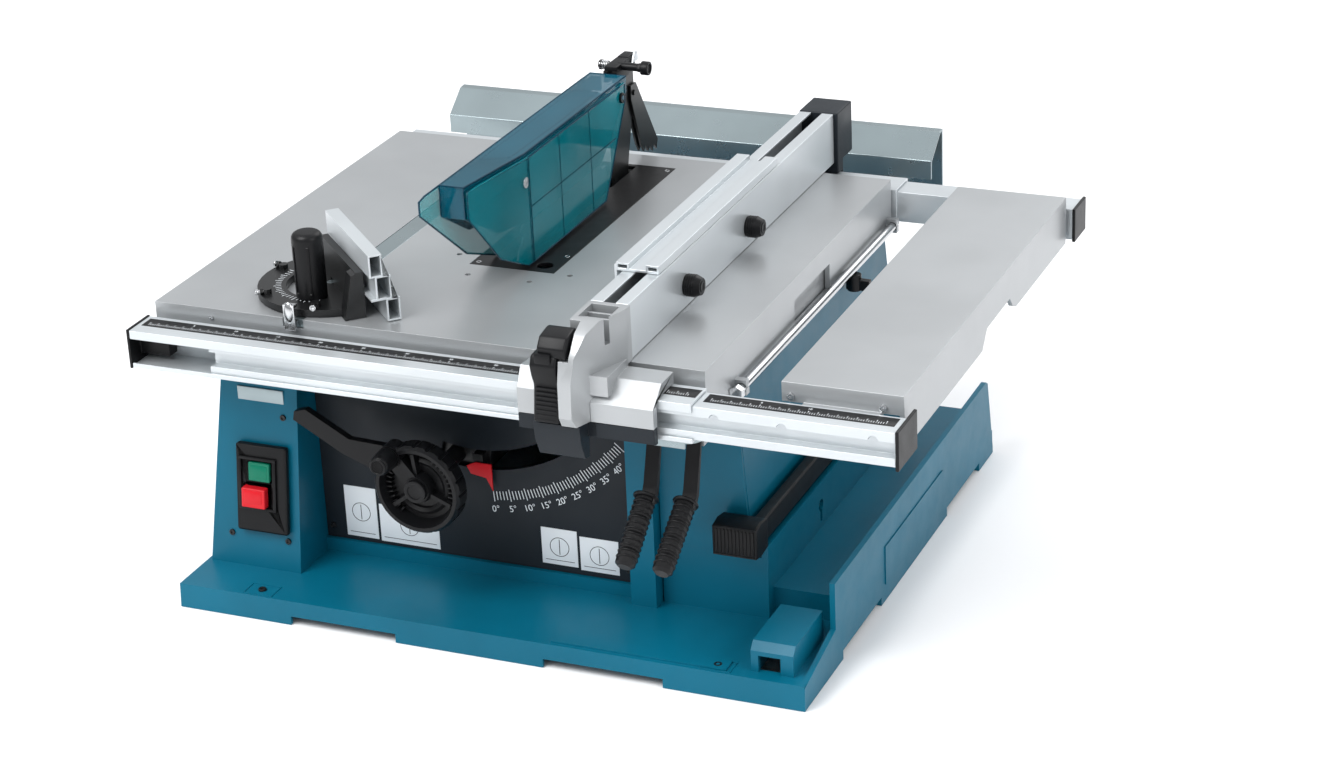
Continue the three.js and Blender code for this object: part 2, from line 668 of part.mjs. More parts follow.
// ---- Rip fence ----
function fenceBeam() {
  const outer = block([fenceLeft, fenceRight], [3.5, 600], [344.6, 404]);
  const inner = block([fenceLeft + 2.5, fenceRight - 2.5], [0, 610], [347.1, 401.5]);
  return cut(outer, inner, block([520, 533], [0, 610], [400, 410]));
}

function fenceFacing() {
  const y = [83, 421];
  const plate = block([500, 546.5], y, [404.4, 407.4]);
  const leg = block([497.5, 500.5], y, [392, 411]);
  const leftRib = cut(block([499, 514], y, [406, 413.4]), block([501.5, 511.5], [80, 430], [407.4, 411]));
  const rightRib = cut(block([532, 546.5], y, [406, 413.4]), block([534.5, 544], [80, 430], [407.4, 411]));
  return join(plate, leg, leftRib, rightRib);
}

function fenceRearCap() {
  return join(
    block([505, 552], [600.3, 650], [344.6, 405]),
    block([505, 552], [600.3, 618], [331.5, 346]),
    block([505, 552], [614.4, 618], [322, 346]),
  );
}

function fenceHeadCore() {
  const side = [
    [-80, 303.4], [-86, 314], [-85, 350], [-79, 376], [-62, 396], [-44, 404], [2.9, 404],
    [2.9, 345.4], [-8, 345.4], [-8, 331], [-52.6, 331], [-56, 303.4],
  ];
  const plan = [[507, -90], [519, -90], [549, -10], [549, 4], [506, 4], [506, -60]];
  const core = prismX(side, [500, 555]).intersect(prismZ(plan, [280, 410]));
  const recess = block([511, 541], [-38, -4], [376, 410]);
  const ribs = [-28, -15].map((y) => block([511, 541], [y, y + 3], [370, 399]));
  const leverNotch = block([500, 517.5], [-95, -46], [372, 410]);
  return cut(join(cut(core, recess), ...ribs.map((rib) => rib.intersect(core))), leverNotch);
}

function fenceHead() {
  const rightSide = [[-62, 324], [-62, 303.4], [-52.6, 303.4], [-52.6, 331], [-8, 331], [-8, 343], [-38, 343]];
  const leftSide = [[-62, 330], [-62, 303.4], [-52.6, 303.4], [-52.6, 331], [-8, 331], [-8, 346], [-50, 350]];
  const web = block([507, 549], [-60, -8], [331, 352]);
  return join(fenceHeadCore(), prismX(rightSide, [530, 597]), prismX(leftSide, [451, 510]), web);
}

function fenceShoe() {
  const wings = [[451, 473], [535, 597]].map((x) => prismX([[-62, 287], [-62, 302.7], [-52.6, 302.7], [-52.6, 287]], x));
  const middle = block([451, 597], [-57.5, -52.6], [285, 302.7]);
  const skirt = prismX([[-66, 264], [-56, 262], [-53, 290], [-53, 302.7], [-77, 302.7], [-75, 284]], [474, 524]);
  return join(...wings, middle, skirt);
}

// A waisted grip that hangs in front of the head, from a block on top of it.
function fenceLever() {
  const side = [
    [-54, 378], [-54, 397], [-66, 399], [-82, 393], [-91, 374], [-93, 352], [-89, 330],
    [-93, 300], [-89, 286], [-80, 286], [-79, 300], [-74, 330], [-76, 352], [-68, 374],
  ];
  const topBlock = [[-55, 378], [-55, 398], [-66, 399.5], [-80, 394], [-86, 384], [-70, 375]];
  return join(prismX(side, [472, 506.2]), prismX(topBlock, [480, 516]));
}

function fenceKnob(y) {
  return join(
    rod('x', [y, 368], 11.5, [fenceRight + gap, fenceRight + 12], 20),
    rod('x', [y, 368], [11.5, 9], [fenceRight + 11.9, fenceRight + 18], 20),
  );
}

function makeFence() {
  add('fence_beam', fenceBeam(), 'railAluminium');
  add('fence_facing', fenceFacing(), 'railAluminium');
  add('fence_rear_cap', fenceRearCap(), 'darkPanel');
  add('fence_head', fenceHead(), 'castAluminium');
  add('fence_shoe', fenceShoe(), 'darkPanel');
  add('fence_lever', fenceLever(), 'blackPlastic');
  add('fence_knob_front', fenceKnob(150), 'blackPlastic');
  add('fence_knob_rear', fenceKnob(325), 'blackPlastic');
}

// ---- Mitre gauge ----
function mitreBar() {
  const bar = block([154.5, 177.5], [2, 420], [334.4, 343.6]);
  const stem = rod('z', gaugePivot, 5, [343, 352.4], 16);
  const lockStem = rod('z', [166, 44], 4, [343, 353], 12);
  return join(bar, stem, lockStem);
}

function barStop() {
  return join(
    block([160, 173], [-8, 1.6], [335, 343.6]),
    block([160, 173], [-8, -5], [334, 362]),
    block([160, 173], [-8, 0], [359, 362]),
  );
}

// The head in its own frame: pivot at the origin, flat side towards +y.
function mitreHead() {
  const half = [];
  for (let i = 0; i <= 20; i += 1) {
    const angle = Math.PI + (i * Math.PI) / 20;
    half.push([82 * Math.cos(angle), 2 + 80 * Math.sin(angle)]);
  }
  const plate = prismZ(half, [344.6, 352.6]);
  const arc = [];
  for (const [radius, from, to] of [[48, -158, -22], [36, -22, -158]]) {
    for (let i = 0; i <= 14; i += 1) {
      const angle = THREE.MathUtils.degToRad(from + (i * (to - from)) / 14);
      arc.push([radius * Math.cos(angle), radius * Math.sin(angle)]);
    }
  }
  const bracket = block([-30, 95], [1, 9], [344.6, 395]);
  const wedge = prismX([[-14, 344.6], [3, 344.6], [3, 395], [-4, 392]], [78, 95]);
  const stops = [-150, -90, -30].map((degrees) => {
    const angle = THREE.MathUtils.degToRad(degrees);
    const centre = [70 * Math.cos(angle), 70 * Math.sin(angle)];
    return rod('z', centre, 5, [350, 358], 10);
  });
  const body = join(plate, bracket, ...stops, wedge);
  return cut(body, prismZ(arc, [340, 356]), rod('z', [0, 0], 5.4, [340, 356], 16));
}

function squareTube(x, y, z) {
  return cut(block(x, y, z), block([x[0] - 1, x[1] + 1], [y[0] + 2, y[1] - 2], [z[0] + 2, z[1] - 2]));
}

function mitreFence() {
  const x = [-34, 118];
  return join(
    squareTube(x, [9.3, 24], [395, 420]),
    squareTube(x, [15, 32], [369, 396]),
    squareTube(x, [25, 40], [344.9, 370]),
    block(x, [9.3, 26], [369, 372]),
  );
}

function mitreKnob() {
  return join(
    rod('z', [166, 44], [13, 16.5], [353.4, 372], 20),
    rod('z', [166, 44], [16.5, 15], [372, 412], 20),
    rod('z', [166, 44], [15, 7], [412, 425], 20),
  );
}

function makeMitreGauge() {
  add('mitre_bar', mitreBar(), 'zincSteel');
  add('bar_stop', barStop(), 'brightSteel');
  add('mitre_knob', mitreKnob(), 'blackPlastic');
  const swivel = new THREE.Group();
  swivel.position.set(gaugePivot[0], gaugePivot[1], 0);
  swivel.rotation.z = gaugeTurn;
  object.add(swivel);
  add('mitre_head', mitreHead(), 'castAluminium', swivel);
  add('mitre_fence', mitreFence(), 'railAluminium', swivel);
}

// ---- Push stick, stored in the base's right side ----
function pushStick() {
  const handle = prismX([[52, 114], [66, 112], [84, 114], [84, 148], [66, 151], [52, 148]], [606, 655]);
  return join(handle, block([638, 651], [80, 390], [118, 144]));
}

add('base_housing', baseHousing(), 'tealPlastic');
add('front_panel', frontPanel(), 'darkPanel');
makeSwitch();
add('main_table', mainTable(), 'castAluminium');
add('table_insert', tableInsert(), 'blackPlastic');
makeRails();
makeSlideRails();
add('right_table', rightTable(), 'castAluminium');
makeRearTable();
makeLockLevers();
makeSawUnit();
makeGuard();
makeFence();
makeMitreGauge();
add('push_stick', pushStick(), 'blackPlastic');

// Origin at the centre of the footprint, on the floor
object.updateMatrixWorld(true);
const bounds = new THREE.Box3().setFromObject(object, true);
const centre = bounds.getCenter(new THREE.Vector3());
object.position.set(-centre.x, -centre.y, -bounds.min.z);

export default object;
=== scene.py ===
# Portable table saw: finishes, soft edges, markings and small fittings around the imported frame.
import json
import math

import bpy
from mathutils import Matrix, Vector


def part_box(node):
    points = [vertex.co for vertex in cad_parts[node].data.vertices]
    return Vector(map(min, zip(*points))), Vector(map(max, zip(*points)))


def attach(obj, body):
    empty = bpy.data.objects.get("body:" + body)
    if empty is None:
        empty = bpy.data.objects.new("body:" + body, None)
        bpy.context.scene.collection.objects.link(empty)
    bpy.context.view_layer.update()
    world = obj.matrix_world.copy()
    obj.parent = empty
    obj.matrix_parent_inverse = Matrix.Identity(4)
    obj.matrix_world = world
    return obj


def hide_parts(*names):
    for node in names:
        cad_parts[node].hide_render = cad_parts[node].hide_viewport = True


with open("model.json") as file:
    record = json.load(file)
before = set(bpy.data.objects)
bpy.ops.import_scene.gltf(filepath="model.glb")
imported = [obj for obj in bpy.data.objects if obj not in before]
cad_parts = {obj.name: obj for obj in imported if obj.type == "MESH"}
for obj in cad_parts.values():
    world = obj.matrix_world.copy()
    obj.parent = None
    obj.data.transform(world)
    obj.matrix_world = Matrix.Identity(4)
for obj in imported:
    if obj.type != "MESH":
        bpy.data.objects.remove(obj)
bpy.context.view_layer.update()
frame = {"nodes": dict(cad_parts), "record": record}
record = frame["record"]
bodyOf = {node: body for body, nodes in record["behaviour"]["bodies"].items() for node in nodes}
slotOf = {part["node"]: part["material_slot"] for part in record["subparts"]}
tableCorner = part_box("main_table")[0]
mm = 0.001
print("frame loaded:", len(frame["nodes"]), "nodes")


# A point given in millimetres from the main table's front left corner and the floor
def at(x, y, z):
    return Vector((tableCorner.x + x * mm, tableCorner.y + y * mm, z * mm))


def nothingSelected():
    if bpy.context.object and bpy.context.object.mode != "OBJECT":
        bpy.ops.object.mode_set(mode="OBJECT")
    bpy.ops.object.select_all(action="DESELECT")


def onlySelected(piece):
    nothingSelected()
    piece.select_set(True)
    bpy.context.view_layer.objects.active = piece


def bakePlace(piece):
    onlySelected(piece)
    bpy.ops.object.transform_apply(location=True, rotation=True, scale=True)


def applyAll(piece):
    onlySelected(piece)
    for modifier in list(piece.modifiers):
        bpy.ops.object.modifier_apply(modifier=modifier.name)


# The look is the slot's own finish unless another is named
def finishPiece(piece, name, body, slot, look=None):
    piece.name = name
    piece.data.name = name
    piece.data.materials.clear()
    piece.data.materials.append(materials[look or slot])
    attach(piece, body)
    return piece


view = {"place": (1686.9, -2512.4, 1536.8), "turn": (66.045, 2.395, 22.539), "lens": 81.46}


def makeCamera():
    bpy.ops.object.camera_add(location=at(*view["place"]))
    camera = bpy.context.object
    camera.rotation_euler = [math.radians(a) for a in view["turn"]]
    camera.data.lens = view["lens"]
    camera.data.sensor_width = 36
    camera.data.clip_start = 0.05
    camera.data.clip_end = 50
    bpy.context.scene.camera = camera
    bpy.context.scene.view_settings.view_transform = "Standard"


# Grey low down for the metal to reflect, white overhead. Lamps are name, place, size and power.
studio = {
    "horizon": (0.30, 0.31, 0.32),
    "overhead": (1.0, 1.01, 1.03),
    "lamps": (
        ("keyLight", (-1.2, -2.0, 2.8), 2.0, 96),
        ("fillLight", (3.0, -1.2, 1.8), 1.6, 30),
        ("backLight", (0.6, 2.6, 2.6), 2.2, 36),
    ),
}


def makeLights():
    world = bpy.data.worlds.new("studioSky")
    world.use_nodes = True
    tree = world.node_tree
    direction = tree.nodes.new("ShaderNodeTexCoord")
    split = tree.nodes.new("ShaderNodeSeparateXYZ")
    height = tree.nodes.new("ShaderNodeMapRange")
    height.inputs["From Max"].default_value = 0.75
    blend = tree.nodes.new("ShaderNodeMix")
    blend.data_type = "RGBA"
    blend.inputs["A"].default_value = (*studio["horizon"], 1)
    blend.inputs["B"].default_value = (*studio["overhead"], 1)
    tree.links.new(direction.outputs["Generated"], split.inputs["Vector"])
    tree.links.new(split.outputs["Z"], height.inputs["Value"])
    tree.links.new(height.outputs["Result"], blend.inputs["Factor"])
    tree.links.new(blend.outputs["Result"], tree.nodes["Background"].inputs["Color"])
    bpy.context.scene.world = world
    for name, place, size, power in studio["lamps"]:
        bpy.ops.object.light_add(type="AREA", location=place)
        lamp = bpy.context.object
        lamp.name = name
        lamp.data.shape = "SQUARE"
        lamp.data.size = size
        lamp.data.energy = power
        aim = Vector((0, 0, 0.25)) - Vector(place)
        lamp.rotation_euler = aim.to_track_quat("-Z", "Y").to_euler()


def makeFloor():
    bpy.ops.mesh.primitive_plane_add(size=30, location=(0, 0, -0.0005))
    floor = bpy.context.object
    floor.name = "studioFloor"
    material = bpy.data.materials.new("paleFloor")
    material.use_nodes = True
    shader = material.node_tree.nodes["Principled BSDF"]
    shader.inputs["Base Color"].default_value = (0.94, 0.94, 0.945, 1)
    shader.inputs["Roughness"].default_value = 0.9
    floor.data.materials.append(material)


finishes = {
    "teal_plastic": {
        "colour": (0.0012, 0.118, 0.192), "rough": 0.34, "metal": 0, "grain": (900, 0.10), "patch": 0.10,
    },
    "black_plastic": {
        "colour": (0.0050, 0.0052, 0.0060), "rough": 0.38, "metal": 0, "grain": (1400, 0.12), "patch": 0.15,
    },
    "panel_plastic": {
        "colour": (0.012, 0.016, 0.021), "rough": 0.42, "metal": 0, "grain": (1600, 0.12), "patch": 0.12,
    },
    "cast_aluminium": {
        "colour": (0.40, 0.415, 0.425), "rough": 0.33, "metal": 0.5, "grain": (1100, 0.05), "patch": 0.06,
    },
    "rail_aluminium": {
        "colour": (0.58, 0.615, 0.635), "rough": 0.30, "metal": 0.5, "grain": (1500, 0.04), "patch": 0.05,
    },
    "zinc_steel": {
        "colour": (0.29, 0.345, 0.36), "rough": 0.28, "metal": 0.8, "grain": (700, 0.02), "patch": 0.10,
    },
    "bright_steel": {
        "colour": (0.60, 0.61, 0.62), "rough": 0.18, "metal": 1, "grain": (900, 0.03), "patch": 0.08,
    },
    "black_steel": {
        "colour": (0.006, 0.0065, 0.007), "rough": 0.34, "metal": 0.1, "grain": (1200, 0.10), "patch": 0.15,
    },
    "blade_steel": {
        "colour": (0.30, 0.31, 0.32), "rough": 0.3, "metal": 0.85, "grain": (1200, 0.05), "patch": 0.12,
    },
    "green_plastic": {
        "colour": (0.002, 0.165, 0.095), "rough": 0.25, "metal": 0, "grain": (900, 0.04), "patch": 0.06,
    },
    "red_plastic": {
        "colour": (0.60, 0.012, 0.020), "rough": 0.25, "metal": 0, "grain": (900, 0.04), "patch": 0.06,
    },
    "white_print": {
        "colour": (0.78, 0.82, 0.85), "rough": 0.45, "metal": 0, "grain": (900, 0.03), "patch": 0.03,
    },
    # painted shade: a near-black that stands for the shade inside holes and hollows
    "painted_hole_shade": {
        "colour": (0.0015, 0.0015, 0.002), "rough": 0.7, "metal": 0, "grain": (900, 0.05), "patch": 0.05,
    },
}


def objectNoise(tree, scale, detail, stretch=(1, 1, 1)):
    place = tree.nodes.new("ShaderNodeTexCoord")
    mapping = tree.nodes.new("ShaderNodeMapping")
    mapping.inputs["Scale"].default_value = stretch
    noise = tree.nodes.new("ShaderNodeTexNoise")
    noise.inputs["Scale"].default_value = scale
    noise.inputs["Detail"].default_value = detail
    tree.links.new(place.outputs["Object"], mapping.inputs["Vector"])
    tree.links.new(mapping.outputs["Vector"], noise.inputs["Vector"])
    return noise


def rampTo(tree, source, low, high):
    spread = tree.nodes.new("ShaderNodeMapRange")
    spread.inputs["From Min"].default_value = 0.3
    spread.inputs["From Max"].default_value = 0.7
    spread.inputs["To Min"].default_value = low
    spread.inputs["To Max"].default_value = high
    tree.links.new(source, spread.inputs["Value"])
    return spread.outputs["Result"]


def makeFinish(name, stretch=(1, 1, 1)):
    spec = finishes[name]
    material = bpy.data.materials.new(name)
    material.use_nodes = True
    tree = material.node_tree
    shader = tree.nodes["Principled BSDF"]
    shader.inputs["Metallic"].default_value = spec["metal"]
    shader.inputs["Specular IOR Level"].default_value = 0.5 if spec["metal"] else 0.22
    # broad, faint drift of tone
    patch = objectNoise(tree, 7, 3)
    mix = tree.nodes.new("ShaderNodeMix")
    mix.data_type = "RGBA"
    colour = spec["colour"]
    mix.inputs["A"].default_value = (*[c * (1 - spec["patch"]) for c in colour], 1)
    mix.inputs["B"].default_value = (*[min(1, c * (1 + spec["patch"])) for c in colour], 1)
    tree.links.new(rampTo(tree, patch.outputs["Fac"], 0, 1), mix.inputs["Factor"])
    tree.links.new(mix.outputs["Result"], shader.inputs["Base Color"])
    # fine grain in the surface and in its gloss
    scale, strength = spec["grain"]
    grain = objectNoise(tree, scale, 2, stretch)
    bump = tree.nodes.new("ShaderNodeBump")
    bump.inputs["Strength"].default_value = strength
    bump.inputs["Distance"].default_value = 0.00004 if spec["metal"] else 0.0004
    tree.links.new(grain.outputs["Fac"], bump.inputs["Height"])
    tree.links.new(bump.outputs["Normal"], shader.inputs["Normal"])
    rough = spec["rough"]
    wear = objectNoise(tree, 38, 4, stretch)
    swing = 0.04 if spec["metal"] else 0.12
    gloss = rampTo(tree, wear.outputs["Fac"], rough * (1 - swing), rough * (1 + swing))
    tree.links.new(gloss, shader.inputs["Roughness"])
    return material


# Tinted clear plastics: how much light each one stops is its alpha
clearPlastic = {
    "clear_teal": {"colour": (0.0, 0.085, 0.135), "alpha": 0.74},
    "clear_side": {"colour": (0.0, 0.23, 0.28), "alpha": 0.54},
    "clear_left": {"colour": (0.01, 0.33, 0.36), "alpha": 0.46},
    "clear_edge": {"colour": (0.0, 0.035, 0.065), "alpha": 0.92},
}


def makeClear(name):
    spec = clearPlastic[name]
    material = bpy.data.materials.new(name)
    material.use_nodes = True
    tree = material.node_tree
    shader = tree.nodes["Principled BSDF"]
    shader.inputs["Alpha"].default_value = spec["alpha"]
    shader.inputs["Roughness"].default_value = 0.07
    shader.inputs["IOR"].default_value = 1.5
    shader.inputs["Specular IOR Level"].default_value = 0.35
    drift = objectNoise(tree, 9, 2)
    mix = tree.nodes.new("ShaderNodeMix")
    mix.data_type = "RGBA"
    mix.inputs["A"].default_value = (*[c * 0.8 for c in spec["colour"]], 1)
    mix.inputs["B"].default_value = (*[c * 1.25 for c in spec["colour"]], 1)
    tree.links.new(rampTo(tree, drift.outputs["Fac"], 0, 1), mix.inputs["Factor"])
    tree.links.new(mix.outputs["Result"], shader.inputs["Base Color"])
    return material


materials = {name: makeFinish(name) for name in finishes if not name.startswith("rail")}
materials["rail_aluminium"] = makeFinish("rail_aluminium", (0.04, 1, 1))
materials["fence_aluminium"] = makeFinish("rail_aluminium", (1, 0.04, 1))
for clearName in clearPlastic:
    materials[clearName] = makeClear(clearName)
print("finishes ready:", len(materials))


# Width of the rounded edge of each frame piece, in millimetres
edges = {
    "default": 0.5,
    "base_housing": 2.2, "main_table": 1.6, "right_table": 1.8, "front_panel": 0.3, "switch_box": 3.0,
    "start_button": 1.2, "stop_button": 1.6, "table_insert": 0.5, "front_rail": 0.5, "rear_rail": 0.5,
    "front_rail_cap": 0.9, "front_slide_cap": 1.0, "rear_slide_cap": 1.0, "front_slide_rail": 0.5,
    "rear_slide_rail": 0.5, "rear_table": 0.7, "fence_head": 1.6, "fence_rear_cap": 3.0, "fence_shoe": 1.2,
    "fence_beam": 0.6, "fence_facing": 0.6, "handwheel": 0.8, "crank_knob": 2.0,
    "mitre_head": 0.8, "mitre_fence": 0.5, "bevel_lock_lever": 2.2, "push_stick": 2.4,
    "motor_housing": 1.0, "gear_case": 2.0, "saw_blade": 0.15, "riving_knife": 0.4,
    "guard_hood": 0.8, "side_guard_left": 0.5, "side_guard_right": 0.5, "tilt_frame": 0.8, "wing_knob": 1.5,
    "fence_knob_front": 1.6, "fence_knob_rear": 1.6, "lock_lever_left": 1.0, "lock_lever_right": 1.0,
}
edgeAngle = math.radians(28)
edgeCuts = 2
looks = {
    "side_guard_right": "clear_side", "side_guard_left": "clear_left", "saw_blade": "blade_steel",
    "fence_beam": "fence_aluminium", "fence_facing": "fence_aluminium",
}
remade = ("fence_lever", "guard_clamp", "mitre_knob")


# A merged copy of a frame piece, with rounded edges and even shading, stands for it
def softened(node):
    source = frame["nodes"][node]
    nothingSelected()
    piece = source.copy()
    piece.data = source.data.copy()
    bpy.context.collection.objects.link(piece)
    piece.parent = None
    piece.hide_render = False
    for key in [k for k in piece.keys() if k.startswith("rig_")]:
        del piece[key]
    onlySelected(piece)
    bpy.ops.object.mode_set(mode="EDIT")
    bpy.ops.mesh.select_all(action="SELECT")
    bpy.ops.mesh.remove_doubles(threshold=2e-6)
    bpy.ops.mesh.dissolve_limited(angle_limit=math.radians(0.6))
    bpy.ops.object.mode_set(mode="OBJECT")
    bevel = piece.modifiers.new("softEdge", "BEVEL")
    bevel.width = edges.get(node, edges["default"]) * mm
    bevel.segments = edgeCuts
    bevel.limit_method = "ANGLE"
    bevel.angle_limit = edgeAngle
    bevel.use_clamp_overlap = True
    applyAll(piece)
    bpy.ops.object.shade_smooth_by_angle(angle=math.radians(38))
    evenFaces = piece.modifiers.new("evenFaces", "WEIGHTED_NORMAL")
    evenFaces.keep_sharp = True
    applyAll(piece)
    finishPiece(piece, node + "_body", bodyOf[node], slotOf[node], looks.get(node))
    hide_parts(node)


# Small shapes that the fittings are made of
def shaped(piece, soft, cuts=edgeCuts):
    bevel = piece.modifiers.new("softEdge", "BEVEL")
    bevel.width = soft * mm
    bevel.segments = cuts
    bevel.limit_method = "ANGLE"
    bevel.angle_limit = edgeAngle
    applyAll(piece)
    bpy.ops.object.shade_smooth_by_angle(angle=math.radians(35))
    return piece


def plate(low, high, soft=0.1):
    nothingSelected()
    a, b = at(*low), at(*high)
    bpy.ops.mesh.primitive_cube_add(size=1, location=(a + b) / 2)
    piece = bpy.context.object
    piece.scale = [abs(v) for v in b - a]
    bakePlace(piece)
    return shaped(piece, soft)


def joined(parts):
    nothingSelected()
    for part in parts:
        part.select_set(True)
    bpy.context.view_layer.objects.active = parts[0]
    if len(parts) > 1:
        bpy.ops.object.join()
    return bpy.context.object


def repeated(piece, count, step):
    row = piece.modifiers.new("row", "ARRAY")
    row.use_relative_offset = False
    row.use_constant_offset = True
    row.constant_offset_displace = [v * mm for v in step]
    row.count = count
    applyAll(piece)
    return piece


def wording(text, height, place, turn):
    nothingSelected()
    bpy.ops.object.text_add(location=at(*place), rotation=turn)
    label = bpy.context.object
    label.data.body = text
    label.data.size = height * mm
    label.data.align_x = "CENTER"
    label.data.align_y = "CENTER"
    label.data.extrude = 0.06 * mm
    onlySelected(label)
    bpy.ops.object.convert(target="MESH")
    bakePlace(bpy.context.object)
    return bpy.context.object


def selectFaces(piece, wanted):
    bpy.ops.object.mode_set(mode="EDIT")
    bpy.ops.mesh.select_mode(type="FACE")
    bpy.ops.mesh.select_all(action="DESELECT")
    bpy.ops.object.mode_set(mode="OBJECT")
    for face in piece.data.polygons:
        face.select = wanted(face)
    bpy.ops.object.mode_set(mode="EDIT")


# A cylinder whose top is inset and pushed in, for a screw's socket
def screwHead(radius, place, turn, recess=0.45):
    nothingSelected()
    bpy.ops.mesh.primitive_cylinder_add(vertices=24, radius=radius * mm, depth=radius * 0.8 * mm)
    screw = bpy.context.object
    selectFaces(screw, lambda face: face.normal.z > 0.9)
    bpy.ops.mesh.inset(thickness=radius * (1 - recess) * mm)
    bpy.ops.mesh.extrude_region_move(TRANSFORM_OT_translate={"value": (0, 0, -radius * 0.35 * mm)})
    bpy.ops.object.mode_set(mode="OBJECT")
    screw.location = at(*place)
    screw.rotation_euler = turn
    bakePlace(screw)
    return shaped(screw, radius * 0.14)


def disc(radius, thick, place, turn, soft, sides=36):
    nothingSelected()
    bpy.ops.mesh.primitive_cylinder_add(vertices=sides, radius=radius * mm, depth=thick * mm)
    piece = bpy.context.object
    selectFaces(piece, lambda face: face.normal.z > 0.9)
    bpy.ops.mesh.inset(thickness=radius * 0.35 * mm)
    bpy.ops.mesh.extrude_region_move(TRANSFORM_OT_translate={"value": (0, 0, -thick * 0.2 * mm)})
    bpy.ops.object.mode_set(mode="OBJECT")
    piece.location = at(*place)
    piece.rotation_euler = turn
    bakePlace(piece)
    return shaped(piece, soft)


# A round bar along straight stretches, for rims and ribs
def bead(points, radius, closed=True):
    nothingSelected()
    bpy.ops.curve.primitive_nurbs_path_add(location=(0, 0, 0))
    piece = bpy.context.object
    curve = piece.data
    curve.splines.clear()
    curve.bevel_depth = radius * mm
    curve.bevel_resolution = 1
    line = curve.splines.new("POLY")
    line.points.add(len(points) - 1)
    for spot, point in zip(line.points, points):
        spot.co = (*at(*point), 1)
    line.use_cyclic_u = closed
    curve.use_fill_caps = not closed
    onlySelected(piece)
    bpy.ops.object.convert(target="MESH")
    bpy.ops.object.shade_smooth_by_angle(angle=math.radians(50))
    return bpy.context.object


def hoop(radius, thick, place, turn):
    nothingSelected()
    bpy.ops.mesh.primitive_torus_add(
        major_radius=radius * mm, minor_radius=thick * mm, major_segments=36, minor_segments=8,
    )
    ring = bpy.context.object
    ring.rotation_euler = turn
    ring.location = at(*place)
    bakePlace(ring)
    bpy.ops.object.shade_smooth_by_angle(angle=math.radians(60))
    return bpy.context.object


def turnedAbout(piece, pivot, turn):
    onlySelected(piece)
    bpy.context.scene.cursor.location = at(*pivot)
    bpy.ops.object.origin_set(type="ORIGIN_CURSOR")
    piece.rotation_euler = turn
    bakePlace(piece)
    return piece


facingUp = (0, 0, 0)
facingFront = (math.radians(90), 0, 0)
facingRight = (0, math.radians(90), 0)
facingLeft = (0, math.radians(-90), 0)

railScale = {
    "near": -14.5, "far": -33.5, "top": 330, "slideTop": 327, "strip": 0.2, "print": 0.06,
    "start": 6, "step": 2.5, "short": 4, "tall": 7, "numberEvery": 50, "numberSize": 4.6,
}


def scaleStrip(name, start, end, top, body):
    near, far, step = railScale["near"], railScale["far"], railScale["step"]
    face = top + railScale["strip"]
    first = start + railScale["start"]
    strip = plate((start, far, top), (end, near, face), 0.05)
    finishPiece(strip, name + "Strip", body, "black_plastic")
    count = int((end - start - 2 * railScale["start"]) / step)
    inked = face + railScale["print"]
    short = plate((first, far + 3, face), (first + 0.5, far + 3 + railScale["short"], inked), 0.02)
    repeated(short, count, (step, 0, 0))
    tall = plate((first, far + 3, face), (first + 0.7, far + 3 + railScale["tall"], inked), 0.02)
    repeated(tall, count // 4 + 1, (step * 4, 0, 0))
    every = railScale["numberEvery"]
    digits = [
        wording(str(i * 5), railScale["numberSize"], (first + i * every, far + 14.5, face + 0.04), facingUp)
        for i in range(1, int((end - start) / every))
    ]
    finishPiece(joined([short, tall] + digits), name + "Marks", body, "rail_aluminium", "white_print")


def makeRailScales():
    scaleStrip("railScale", 2, 630, railScale["top"], "stand")
    scaleStrip("slideScale", 638, 834, railScale["slideTop"], "extension")


# Degree marks round the tilt axis, on the dark panel's front
tiltScale = {
    "pivot": (320, 344), "front": 89.9, "inner": 216, "outer": 226, "longer": 2, "width": 0.9,
    "zeroAt": 4.9, "most": 45, "numberEvery": 5, "numberReach": 237, "numberSize": 10.5,
}


# A mark made upright or level at its place, then turned about its own middle
def placedMark(low, high, place, turn):
    mark = plate(low, high, 0.02)
    onlySelected(mark)
    bpy.ops.object.origin_set(type="ORIGIN_GEOMETRY", center="BOUNDS")
    mark.rotation_euler = turn
    mark.location = at(*place)
    bakePlace(mark)
    return mark


def makeTiltScale():
    x, z = tiltScale["pivot"]
    front, half = tiltScale["front"], tiltScale["width"] / 2
    marks = []
    for tilt in range(tiltScale["most"] + 1):
        angle = math.radians(tiltScale["zeroAt"] + tilt)
        turn = (0, -angle, 0)
        numbered = tilt % tiltScale["numberEvery"] == 0
        extra = tiltScale["longer"] if numbered else 0
        outer, inner = tiltScale["outer"] + extra, tiltScale["inner"] - extra
        middle, length = (outer + inner) / 2, outer - inner
        place = (x + middle * math.sin(angle), front - 0.05, z - middle * math.cos(angle))
        low, high = (x - half, front - 0.1, z - length / 2), (x + half, front, z + length / 2)
        marks.append(placedMark(low, high, place, turn))
        if numbered:
            reach = tiltScale["numberReach"]
            place = (x + reach * math.sin(angle), front - 0.05, z - reach * math.cos(angle))
            upright = (math.radians(90), -angle, 0)
            marks.append(wording(str(tilt) + "\u00b0", tiltScale["numberSize"], place, upright))
    finishPiece(joined(marks), "tiltScaleMarks", "stand", "rail_aluminium", "white_print")


# Pale plates as low and high (x, z) corners, each with a plain ring-and-line drawing
panelPlates = {
    "corners": (
        ((155, 49), (194, 110)), ((197, 48), (269, 93)), ((392, 52), (434, 95)), ((437, 50), (482, 90)),
    ),
    "back": 89.95, "front": 89.5, "inked": 89.3, "ringRadius": 11, "lineHalf": 9, "lineWidth": 0.8,
}


